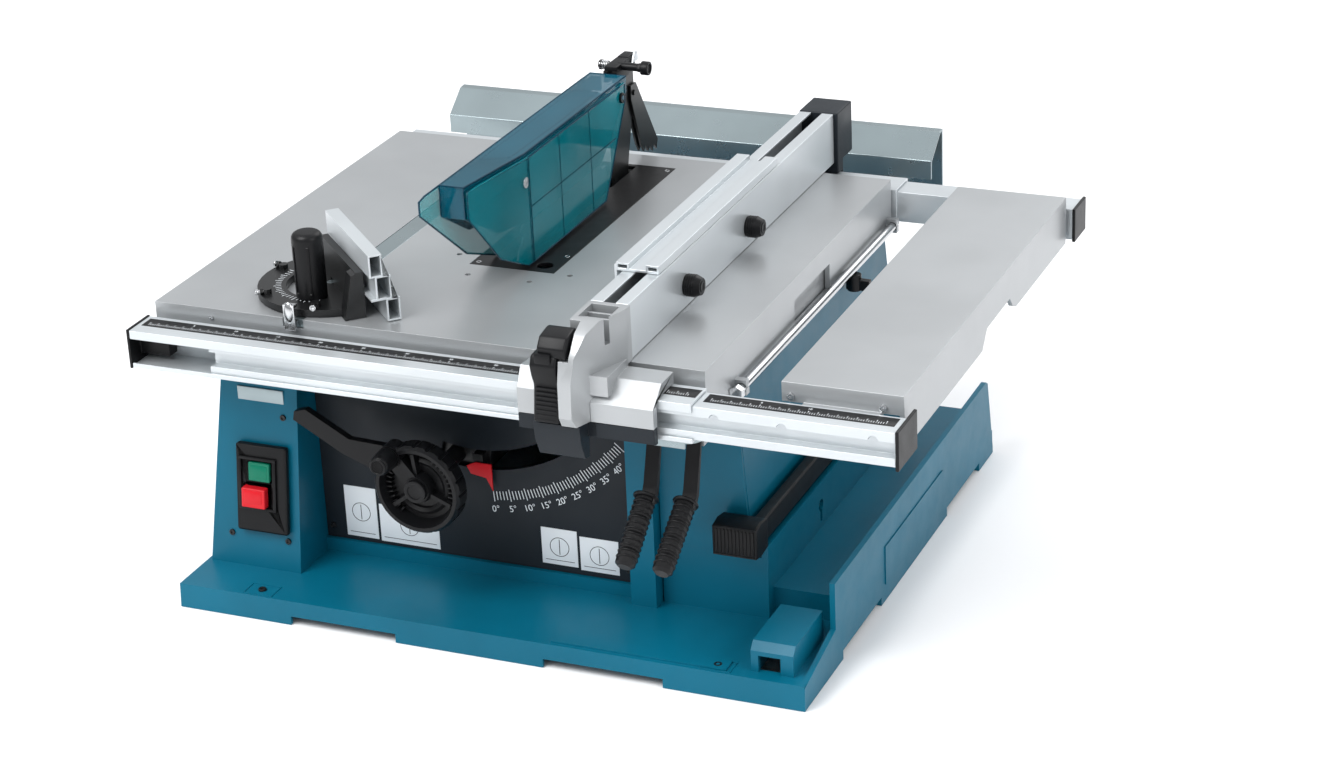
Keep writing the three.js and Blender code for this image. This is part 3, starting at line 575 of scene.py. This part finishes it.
def makePanelPlates():
    front, inked = panelPlates["front"], panelPlates["inked"]
    half, reach = panelPlates["lineWidth"] / 2, panelPlates["lineHalf"]
    plates, drawings = [], []
    for low, high in panelPlates["corners"]:
        plates.append(plate((low[0], front, low[1]), (high[0], panelPlates["back"], high[1]), 0.15))
        x, z = (low[0] + high[0]) / 2, (low[1] + high[1]) / 2
        nothingSelected()
        bpy.ops.mesh.primitive_torus_add(
            location=at(x, front - 0.05, z), rotation=facingFront,
            major_radius=panelPlates["ringRadius"] * mm, minor_radius=0.35 * mm,
            major_segments=40, minor_segments=6,
        )
        ring = bpy.context.object
        bakePlace(ring)
        line = plate((x - half, inked, z - reach), (x + half, front, z + reach), 0.05)
        edge = plate((low[0] + 4, inked, low[1] + 5), (high[0] - 4, front, low[1] + 5.6), 0.05)
        drawings += [ring, line, edge]
    finishPiece(joined(plates), "panelPlates", "stand", "rail_aluminium", "white_print")
    finishPiece(joined(drawings), "panelDrawings", "stand", "panel_plastic")


# The left tower's front leans back from the flange
tower = {"front": 25, "foot": 28, "slope": 0.1407, "lean": math.radians(8)}


def towerFace(z):
    return tower["front"] + (z - tower["foot"]) * tower["slope"]


# Each group is the head's radius, its depth or height, and its places in the other two directions
screws = {
    "tower": {"radius": 3.4, "places": ((112, 202), (45, 64), (115, 63))},
    "panel": {"radius": 3.2, "y": 89.2, "places": ((138, 58), (138, 274), (493, 58))},
    "flange": {"radius": 4.5, "z": 28.6, "places": ((108, -22), (638, -22))},
    "railCap": {"radius": 4, "place": (-4.7, -30, 309)},
    "table": {"radius": 2.6, "places": ((68, -0.5, 333.5), (560, -0.5, 333.5))},
    "insert": {"radius": 3, "z": 343.1, "places": ((283, 202), (283, 524), (369, 243), (369, 524))},
    "extension": {"radius": 4, "places": ((717, -1, 329.5), (812, -1, 329.5))},
}
flangeFrame = {"halfLength": 17, "near": -33, "far": -11, "thick": 0.9}


def makeScrews():
    spec = screws["tower"]
    leaning = (math.radians(90) - tower["lean"], 0, 0)
    dark = [screwHead(spec["radius"], (x, towerFace(z) - 0.4, z), leaning) for x, z in spec["places"]]
    spec = screws["panel"]
    dark += [screwHead(spec["radius"], (x, spec["y"], z), facingFront) for x, z in spec["places"]]
    spec = screws["flange"]
    dark += [screwHead(spec["radius"], (x, y, spec["z"]), facingUp) for x, y in spec["places"]]
    dark.append(screwHead(screws["railCap"]["radius"], screws["railCap"]["place"], facingLeft))
    finishPiece(joined(dark), "housingScrews", "stand", "black_steel")
    half, near, far = flangeFrame["halfLength"], flangeFrame["near"], flangeFrame["far"]
    frames = []
    for x, _ in spec["places"]:
        corners = ((x - half, near), (x + half, near), (x + half, far), (x - half, far))
        frames.append(bead([(u, v, tower["foot"]) for u, v in corners], flangeFrame["thick"]))
    finishPiece(joined(frames), "flangeFrames", "stand", "teal_plastic")
    spec = screws["table"]
    bright = [screwHead(spec["radius"], place, facingFront) for place in spec["places"]]
    spec = screws["insert"]
    bright += [screwHead(spec["radius"], (x, y, spec["z"]), facingUp, 0.6) for x, y in spec["places"]]
    finishPiece(joined(bright), "tableScrews", "stand", "bright_steel")
    spec = screws["extension"]
    bolts = [screwHead(spec["radius"], place, facingFront, 0.3) for place in spec["places"]]
    finishPiece(joined(bolts), "extensionBolts", "extension", "bright_steel")


wheel = {
    "place": (296, 166), "capRadius": 12.5, "capAt": -4.2,
    "ringRadius": 29, "ringAt": 11.5, "ringThick": 4.2,
    "finReach": (33, 40), "finDepth": (5, 13), "finWidth": 1.8,
    "finAngles": ((-20, 70), (150, 240)), "finEvery": 9,
    "knobReach": 45, "knobAt": 130, "knobEnd": -28,
}


def wheelPoint(reach, degrees):
    angle = math.radians(degrees)
    return wheel["place"][0] + reach * math.cos(angle), wheel["place"][1] + reach * math.sin(angle)


def makeWheelFittings():
    x, z = wheel["place"]
    cap = disc(wheel["capRadius"], 6, (x, wheel["capAt"], z), facingFront, 1.2)
    ring = [wheelPoint(wheel["ringRadius"], degrees) for degrees in range(-150, 91, 8)]
    crescent = bead([(x, wheel["ringAt"], z) for x, z in ring], wheel["ringThick"], False)
    near, far = wheel["finReach"]
    front, back = wheel["finDepth"]
    half, thin = (far - near) / 2, wheel["finWidth"] / 2
    fins = []
    for start, end in wheel["finAngles"]:
        for degrees in range(start, end, wheel["finEvery"]):
            x, z = wheelPoint((near + far) / 2, degrees)
            fin = plate((x - half, front, z - thin), (x + half, back, z + thin), 0.3)
            fins.append(turnedAbout(fin, (x, (front + back) / 2, z), (0, -math.radians(degrees), 0)))
    finishPiece(joined([cap, crescent] + fins), "wheelHub", "wheel", "black_plastic")
    x, z = wheelPoint(wheel["knobReach"], wheel["knobAt"])
    rim = hoop(8.2, 1.5, (x, wheel["knobEnd"] + 0.2, z), facingFront)
    finishPiece(rim, "crankKnobRim", "crank", "black_plastic")
    # A near-black disc in the knob's end stands for the shade in its hollow: painted shade
    hollowShade = disc(6.6, 0.6, (x, wheel["knobEnd"], z), facingFront, 0.1)
    finishPiece(hollowShade, "crankKnobHollowPaintedShade", "crank", "black_steel", "painted_hole_shade")


# Rings and a collar along each lock lever's grip, from its bend down to its end
grips = {
    "left_lever": ((568, -22, 210), (568, -85, 160)),
    "right_lever": ((611, -22, 210), (611, -92, 163)),
}
gripRings = {"count": 11, "radius": 10.3, "thick": 1.25, "from": 0.12, "spread": 0.76, "collarAt": 0.03}


def makeGrips():
    for body, (bend, end) in grips.items():
        bend, end = Vector(bend), Vector(end)
        turn = (end - bend).to_track_quat("Z", "Y").to_euler()
        rings = []
        for i in range(gripRings["count"]):
            share = gripRings["from"] + gripRings["spread"] * i / (gripRings["count"] - 1)
            rings.append(hoop(gripRings["radius"], gripRings["thick"], bend.lerp(end, share), turn))
        collar = hoop(gripRings["radius"] + 1.2, 2.0, bend.lerp(end, gripRings["collarAt"]), turn)
        finishPiece(joined(rings + [collar]), body + "_ribs", body, "black_plastic")


# The switch's raised frame and the pads on its buttons lie on the leaning face of the tower.
# Each pad is its low and high (x, z) corners and how far it stands out.
switchFrame = {
    "outer": ((61, 107), (98, 158)), "inner": ((64.5, 103), (101, 154.5)), "out": (11.7, 8.6), "soft": 0.6,
}
buttonPads = {
    "start": {"slot": "green_plastic", "low": (76, 134), "high": (96, 149), "out": 11.2},
    "stop": {"slot": "red_plastic", "low": (70.5, 106.5), "high": (92.5, 121.5), "out": 17.2},
}
padThick = 1.2


def leanedBack(piece):
    return turnedAbout(piece, (0, tower["front"], tower["foot"]), (-tower["lean"], 0, 0))


def makeSwitchFrame():
    (x0, x1), (z0, z1) = switchFrame["outer"]
    (u0, u1), (v0, v1) = switchFrame["inner"]
    near, far = [tower["front"] - out for out in switchFrame["out"]]
    corners = (
        ((x0, near, z0), (x1, far, v0)), ((x0, near, v1), (x1, far, z1)),
        ((x0, near, v0 - 0.4), (u0, far, v1 + 0.4)), ((u1, near, v0 - 0.4), (x1, far, v1 + 0.4)),
    )
    bars = [plate(low, high, switchFrame["soft"]) for low, high in corners]
    finishPiece(leanedBack(joined(bars)), "switchBezel", "stand", "black_plastic")
    for body, spec in buttonPads.items():
        (x0, z0), (x1, z1) = spec["low"], spec["high"]
        front = tower["front"] - spec["out"]
        pad = leanedBack(plate((x0, front, z0), (x1, front + padThick, z1), 0.5))
        finishPiece(pad, body + "ButtonPad", body, spec["slot"])


# The fence's clamp lever: a waisted, ribbed grip under a block that meets the head.
# Outlines are (y, z), and widths are x ranges.
fenceLever = {
    "side": [
        (-82, 305), (-79, 325), (-77, 343), (-82, 355), (-84.5, 366), (-80, 376), (-63.8, 377), (-63.8, 305),
    ],
    "sideWidth": (477, 505),
    "block": [(-80, 374), (-82, 385), (-74, 395), (-56, 398), (-50, 397), (-50, 379), (-62, 374)],
    "blockWidth": (485, 515),
    "thumbRest": ((482, -84, 368), (500, -76, 379.5)),
    "ribs": 8, "ribWidth": (480, 502), "ribFrom": (-81.6, 307), "ribStep": (0.35, 4.6), "ribHeight": 2.4,
}


# An outline in (y, z) drawn out along x
def profilePiece(points, width, soft):
    nothingSelected()
    bpy.ops.mesh.primitive_circle_add(vertices=len(points), radius=mm, fill_type="NGON")
    piece = bpy.context.object
    for corner, (y, z) in zip(piece.data.vertices, points):
        corner.co = at(width[0], y, z)
    piece.location = (0, 0, 0)
    onlySelected(piece)
    bpy.ops.object.mode_set(mode="EDIT")
    bpy.ops.mesh.select_all(action="SELECT")
    along = (width[1] - width[0]) * mm
    bpy.ops.mesh.extrude_region_move(TRANSFORM_OT_translate={"value": (along, 0, 0)})
    bpy.ops.mesh.select_all(action="SELECT")
    bpy.ops.mesh.normals_make_consistent(inside=False)
    bpy.ops.object.mode_set(mode="OBJECT")
    return shaped(piece, soft, 3)


def makeFenceLever():
    parts = [
        profilePiece(fenceLever["side"], fenceLever["sideWidth"], 2.2),
        profilePiece(fenceLever["block"], fenceLever["blockWidth"], 2.0),
        plate(*fenceLever["thumbRest"], 2.0),
    ]
    left, right = fenceLever["ribWidth"]
    for i in range(fenceLever["ribs"]):
        y = fenceLever["ribFrom"][0] + i * fenceLever["ribStep"][0]
        z = fenceLever["ribFrom"][1] + i * fenceLever["ribStep"][1]
        parts.append(plate((left, y, z), (right, -77.5, z + fenceLever["ribHeight"]), 0.7))
    finishPiece(joined(parts), "fenceLeverGrip", "fence_handle", "black_plastic")
    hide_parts("fence_lever")


# The guard's clamp behind the hood. Blocks are low corner, high corner and rounding; turned
# parts on the cross pin are radius, length, middle, rounding and number of sides.
clamp = {
    "pin": (505, 473),
    "blocks": (
        ((311.5, 486, 458), (317.8, 540, 472), 1.2), ((322.2, 486, 458), (328.5, 540, 472), 1.2),
        ((312, 488, 467), (328, 534, 477), 1.6), ((313, 524, 470), (327, 545, 478), 1.6),
    ),
    "turned": ((4.6, 30, 337, 0.8, 24), (8, 9.5, 356.5, 1.6, 24), (5.4, 6, 350, 0.8, 6)),
    "nut": (6, 4, 301.5, 0.8, 6),
    "spring": {"radius": 4.6, "thick": 0.8, "from": 300, "to": 311, "coils": 5},
    "smallSpring": {"radius": 3.4, "thick": 0.7, "place": (330, 478, 462), "pitch": 1.7, "coils": 4},
    "tab": [(526, 470), (543, 470), (541, 480.6), (534, 480.6)],
    "tabWidth": (329, 331),
}


def makeClamp():
    y, z = clamp["pin"]
    parts = [plate(*spec) for spec in clamp["blocks"]]
    for radius, length, x, soft, sides in clamp["turned"]:
        parts.append(disc(radius, length, (x, y, z), facingRight, soft, sides))
    radius, length, x, soft, sides = clamp["nut"]
    parts.append(disc(radius, length, (x, y, z), facingLeft, soft, sides))
    finishPiece(joined(parts), "guardClampBody", "tilt", "black_plastic")
    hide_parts("guard_clamp")
    spring = clamp["spring"]
    pitch = (spring["to"] - spring["from"]) / spring["coils"]
    coils = []
    for i in range(spring["coils"]):
        place = (spring["from"] + pitch * (i + 0.5), y, z)
        coils.append(hoop(spring["radius"], spring["thick"], place, facingRight))
    small = clamp["smallSpring"]
    x, y, z = small["place"]
    for i in range(small["coils"]):
        coils.append(hoop(small["radius"], small["thick"], (x + i * small["pitch"], y, z), facingRight))
    finishPiece(joined(coils), "guardSpring", "tilt", "bright_steel")
    tab = profilePiece(clamp["tab"], clamp["tabWidth"], 0.3)
    finishPiece(tab, "guardTab", "tilt", "rail_aluminium")


# A blank rating plate near the top of the tower
ratingPlate = {"x": (57, 113), "z": (216, 232), "middle": 224, "out": (1.0, -0.6)}


def makeRatingPlate():
    face = towerFace(ratingPlate["middle"])
    (x0, x1), (z0, z1) = ratingPlate["x"], ratingPlate["z"]
    front, back = [face - out for out in ratingPlate["out"]]
    finishPiece(plate((x0, front, z0), (x1, back, z1), 0.2), "ratingPlate", "stand", "zinc_steel")


# The push stick's handle end has upright ribs inside a rounded rim
stick = {
    "ribsFrom": 610, "ribsTo": 652, "ribEvery": 4, "ribWidth": 1.9,
    "ribZ": (117.5, 144.5), "ribY": (51, 52.4),
    "rim": ((607.5, 115.5), (653.5, 115.5), (653.5, 146.8), (607.5, 146.8)), "rimAt": 51.8, "rimThick": 1.3,
}


def makeStickEnd():
    (y0, y1), (z0, z1) = stick["ribY"], stick["ribZ"]
    places = range(stick["ribsFrom"], stick["ribsTo"], stick["ribEvery"])
    ribs = [plate((x, y0, z0), (x + stick["ribWidth"], y1, z1), 0.3) for x in places]
    finishPiece(joined(ribs), "stickRibs", "stick", "black_plastic")
    rim = bead([(x, stick["rimAt"], z) for x, z in stick["rim"]], stick["rimThick"])
    finishPiece(rim, "stickRim", "stick", "black_plastic")


# Rivet and pivot caps on the guard, ridges on the fence knobs, and flat near-black discs on the slide rail
# where its holes are, as painted shade
guardCaps = {"radius": 6, "rivet": (344.4, 204, 440), "right": (346.4, 458, 452), "left": (291.8, 458, 452)}
fenceKnobs = {
    "y": {"front_knob": 150, "rear_knob": 325}, "z": 368,
    "from": 549.5, "pitch": 2.6, "ridges": 4, "end": 564.6,
}
railHoleShades = {"radius": 7, "y": -34.1, "z": 309, "x": (654, 724, 817)}


def makeSmallFittings():
    rivet = disc(guardCaps["radius"], 1.6, guardCaps["rivet"], facingRight, 0.4)
    finishPiece(rivet, "guardRivet", "right_guard", "bright_steel")
    caps = [
        disc(guardCaps["radius"], 3, guardCaps["right"], facingRight, 0.6),
        disc(guardCaps["radius"], 3, guardCaps["left"], facingLeft, 0.6),
    ]
    finishPiece(joined(caps), "guardPivotCaps", "tilt", "black_plastic")
    z = fenceKnobs["z"]
    for body, y in fenceKnobs["y"].items():
        places = [(fenceKnobs["from"] + i * fenceKnobs["pitch"], y, z) for i in range(fenceKnobs["ridges"])]
        ridges = [hoop(11.3, 0.8, place, facingRight) for place in places]
        centre = disc(6, 2, (fenceKnobs["end"], y, z), facingRight, 0.5)
        finishPiece(joined(ridges + [centre]), body + "_ridges", body, "black_plastic")
    y, z = railHoleShades["y"], railHoleShades["z"]
    # painted shade: near-black discs stand for the shade inside the slide rail's holes
    holeShades = [disc(railHoleShades["radius"], 0.5, (x, y, z), facingFront, 0.1, 24) for x in railHoleShades["x"]]
    finishPiece(joined(holeShades), "slideRailHolePaintedShade", "extension", "black_steel", "painted_hole_shade")


# The mitre gauge: its handle, stop screws and the bright hook at its bar's end.
# Turned parts of a stop are radius, length, offset along it, sides and finish.
gauge = {
    "pivot": (166, 86), "turn": -45,
    "handleAt": (166, 44), "handleRadius": 16.5, "low": 353.5, "high": 425, "crown": 7,
    "panelHalf": 9, "panelOut": 14.4, "panelZ": (360, 412),
    "stopAngles": (165, 225, 285), "stopReach": 75, "stopHeight": 355.8,
    "stopParts": (
        (2.2, 16, 0, 20, "bright_steel"), (3.8, 3.5, 1.5, 6, "black_steel"),
        (3.4, 2.5, 6.5, 20, "bright_steel"),
    ),
    "hookAt": (166.5, -6.6, 353), "hookRadius": 6.5, "hookScale": (0.9, 0.62, 1.9),
}


def makeGaugeHandle():
    x, y = gauge["handleAt"]
    tall = gauge["high"] - gauge["low"]
    nothingSelected()
    bpy.ops.mesh.primitive_cylinder_add(
        vertices=48, radius=gauge["handleRadius"] * mm, depth=tall * mm,
        location=at(x, y, gauge["low"] + tall / 2),
    )
    grip = bpy.context.object
    bakePlace(grip)
    selectFaces(grip, lambda face: face.normal.z > 0.9)
    bpy.ops.mesh.bevel(offset=gauge["crown"] * mm, segments=5, affect="EDGES")
    bpy.ops.object.mode_set(mode="OBJECT")
    bpy.ops.object.shade_smooth_by_angle(angle=math.radians(40))
    left, right, front = x - gauge["panelHalf"], x + gauge["panelHalf"], y - gauge["panelOut"]
    low, high = gauge["panelZ"]
    panel = bead([(left, front, low), (right, front, low), (right, front, high), (left, front, high)], 0.9)
    collar = hoop(15.2, 1.4, (x, y, gauge["low"] + 1.6), facingUp)
    finishPiece(joined([grip, panel, collar]), "gaugeHandle", "gauge_knob", "black_plastic")
    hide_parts("mitre_knob")


def makeGaugeStops():
    x, y = gauge["pivot"]
    groups = {"bright_steel": [], "black_steel": []}
    for degrees in gauge["stopAngles"]:
        angle = math.radians(degrees)
        turn = (0, math.radians(90), angle)
        for radius, length, offset, sides, slot in gauge["stopParts"]:
            reach = gauge["stopReach"] + offset
            place = (x + reach * math.cos(angle), y + reach * math.sin(angle), gauge["stopHeight"])
            groups[slot].append(disc(radius, length, place, turn, 0.3, sides))
    finishPiece(joined(groups["bright_steel"]), "gaugeStopScrews", "gauge_head", "bright_steel")
    finishPiece(joined(groups["black_steel"]), "gaugeStopNuts", "gauge_head", "black_steel")


def makeGaugeHook():
    nothingSelected()
    bpy.ops.mesh.primitive_uv_sphere_add(segments=28, ring_count=16, radius=gauge["hookRadius"] * mm)
    hook = bpy.context.object
    hook.scale = gauge["hookScale"]
    hook.location = at(*gauge["hookAt"])
    bakePlace(hook)
    foot = at(0, 0, gauge["hookAt"][2] - 10).z
    selectFaces(hook, lambda face: face.center.z < foot)
    bpy.ops.mesh.inset(thickness=0.4 * mm)
    bpy.ops.object.mode_set(mode="OBJECT")
    bpy.ops.object.shade_smooth_by_angle(angle=math.radians(60))
    finishPiece(hook, "gaugeHook", "gauge", "bright_steel")


# Degree marks on the mitre head's arc
gaugeScale = {"inner": 53, "outer": 59, "longer": 2, "top": 352.75, "width": 0.7, "each": 5, "steps": 12}


def makeGaugeScale():
    x, y = gauge["pivot"]
    top, half = gaugeScale["top"], gaugeScale["width"] / 2
    marks = []
    for step in range(-gaugeScale["steps"], gaugeScale["steps"] + 1):
        angle = math.radians(-90 + gauge["turn"] + step * gaugeScale["each"])
        outer = gaugeScale["outer"] + (gaugeScale["longer"] if step % 3 == 0 else 0)
        middle, length = (outer + gaugeScale["inner"]) / 2, outer - gaugeScale["inner"]
        place = (x + middle * math.cos(angle), y + middle * math.sin(angle), top - 0.05)
        low, high = (x - length / 2, y - half, top - 0.1), (x + length / 2, y + half, top)
        marks.append(placedMark(low, high, place, (0, 0, angle)))
    finishPiece(joined(marks), "gaugeScaleMarks", "gauge_head", "rail_aluminium", "white_print")


# Darker rims and ribs of the clear guards. Side outlines are (y, z) and the hood's are (x, y).
guardRims = {
    "thick": 1.25, "thin": 0.875, "finest": 0.75,
    "leftX": 293.9,
    "left": [(57, 450), (57, 465), (70, 467), (470, 467), (470, 446), (404, 347), (219, 347), (154, 373)],
    "rightX": 344.6,
    "rightRear": [(212, 347.6), (404, 347.6), (469, 446), (469, 465), (440, 465.4), (212, 465.4)],
    "rightRibs": ([(290, 348), (290, 465)], [(370, 348), (370, 465)], [(212, 410), (440, 410)]),
    "rightFront": [
        (329, 97.5, 435.5), (329, 97.5, 464.5), (344.2, 209, 465), (344.2, 209, 347.6),
        (342.6, 200, 347.6), (336, 150, 372.5),
    ],
    "hoodZ": 469.4,
    "hood": [(297.6, 97.6), (324.6, 97.6), (341, 210), (341, 481.5), (297.6, 481.5)],
    "hoodInner": [(304, 180), (332, 196), (334, 300), (334, 420), (304, 420)],
    "noseX": (297.6, 324.6), "noseY": 97.6, "noseZ": (436, 469),
}


def makeGuardRims():
    thick = guardRims["thick"]
    left = bead([(guardRims["leftX"], y, z) for y, z in guardRims["left"]], thick)
    finishPiece(left, "leftGuardRim", "left_guard", "clear_teal", "clear_edge")
    x = guardRims["rightX"]
    right = [bead([(x, y, z) for y, z in guardRims["rightRear"]], thick)]
    right.append(bead(guardRims["rightFront"], thick))
    for line in guardRims["rightRibs"]:
        right.append(bead([(x, y, z) for y, z in line], guardRims["thin"], False))
    finishPiece(joined(right), "rightGuardRim", "right_guard", "clear_teal", "clear_edge")
    top = guardRims["hoodZ"]
    hood = [
        bead([(x, y, top) for x, y in guardRims["hood"]], thick),
        bead([(x, y, top) for x, y in guardRims["hoodInner"]], guardRims["finest"]),
    ]
    low, high = guardRims["noseZ"]
    for x in guardRims["noseX"]:
        hood.append(bead([(x, guardRims["noseY"], low), (x, guardRims["noseY"], high)], thick, False))
    finishPiece(joined(hood), "hoodRim", "tilt", "clear_teal", "clear_edge")


makeCamera()
makeLights()
makeFloor()
pieces = [softened(node) for node in sorted(frame["nodes"]) if node not in remade]
print("soft edges on", len(pieces), "pieces")
makeRailScales()
makeTiltScale()
makePanelPlates()
makeGaugeScale()
print("scales and plates done")
makeScrews()
makeSwitchFrame()
makeWheelFittings()
makeGrips()
makeFenceLever()
makeClamp()
makeGaugeHandle()
makeGaugeStops()
makeGaugeHook()
makeRatingPlate()
makeStickEnd()
makeSmallFittings()
makeGuardRims()
print("fittings done")
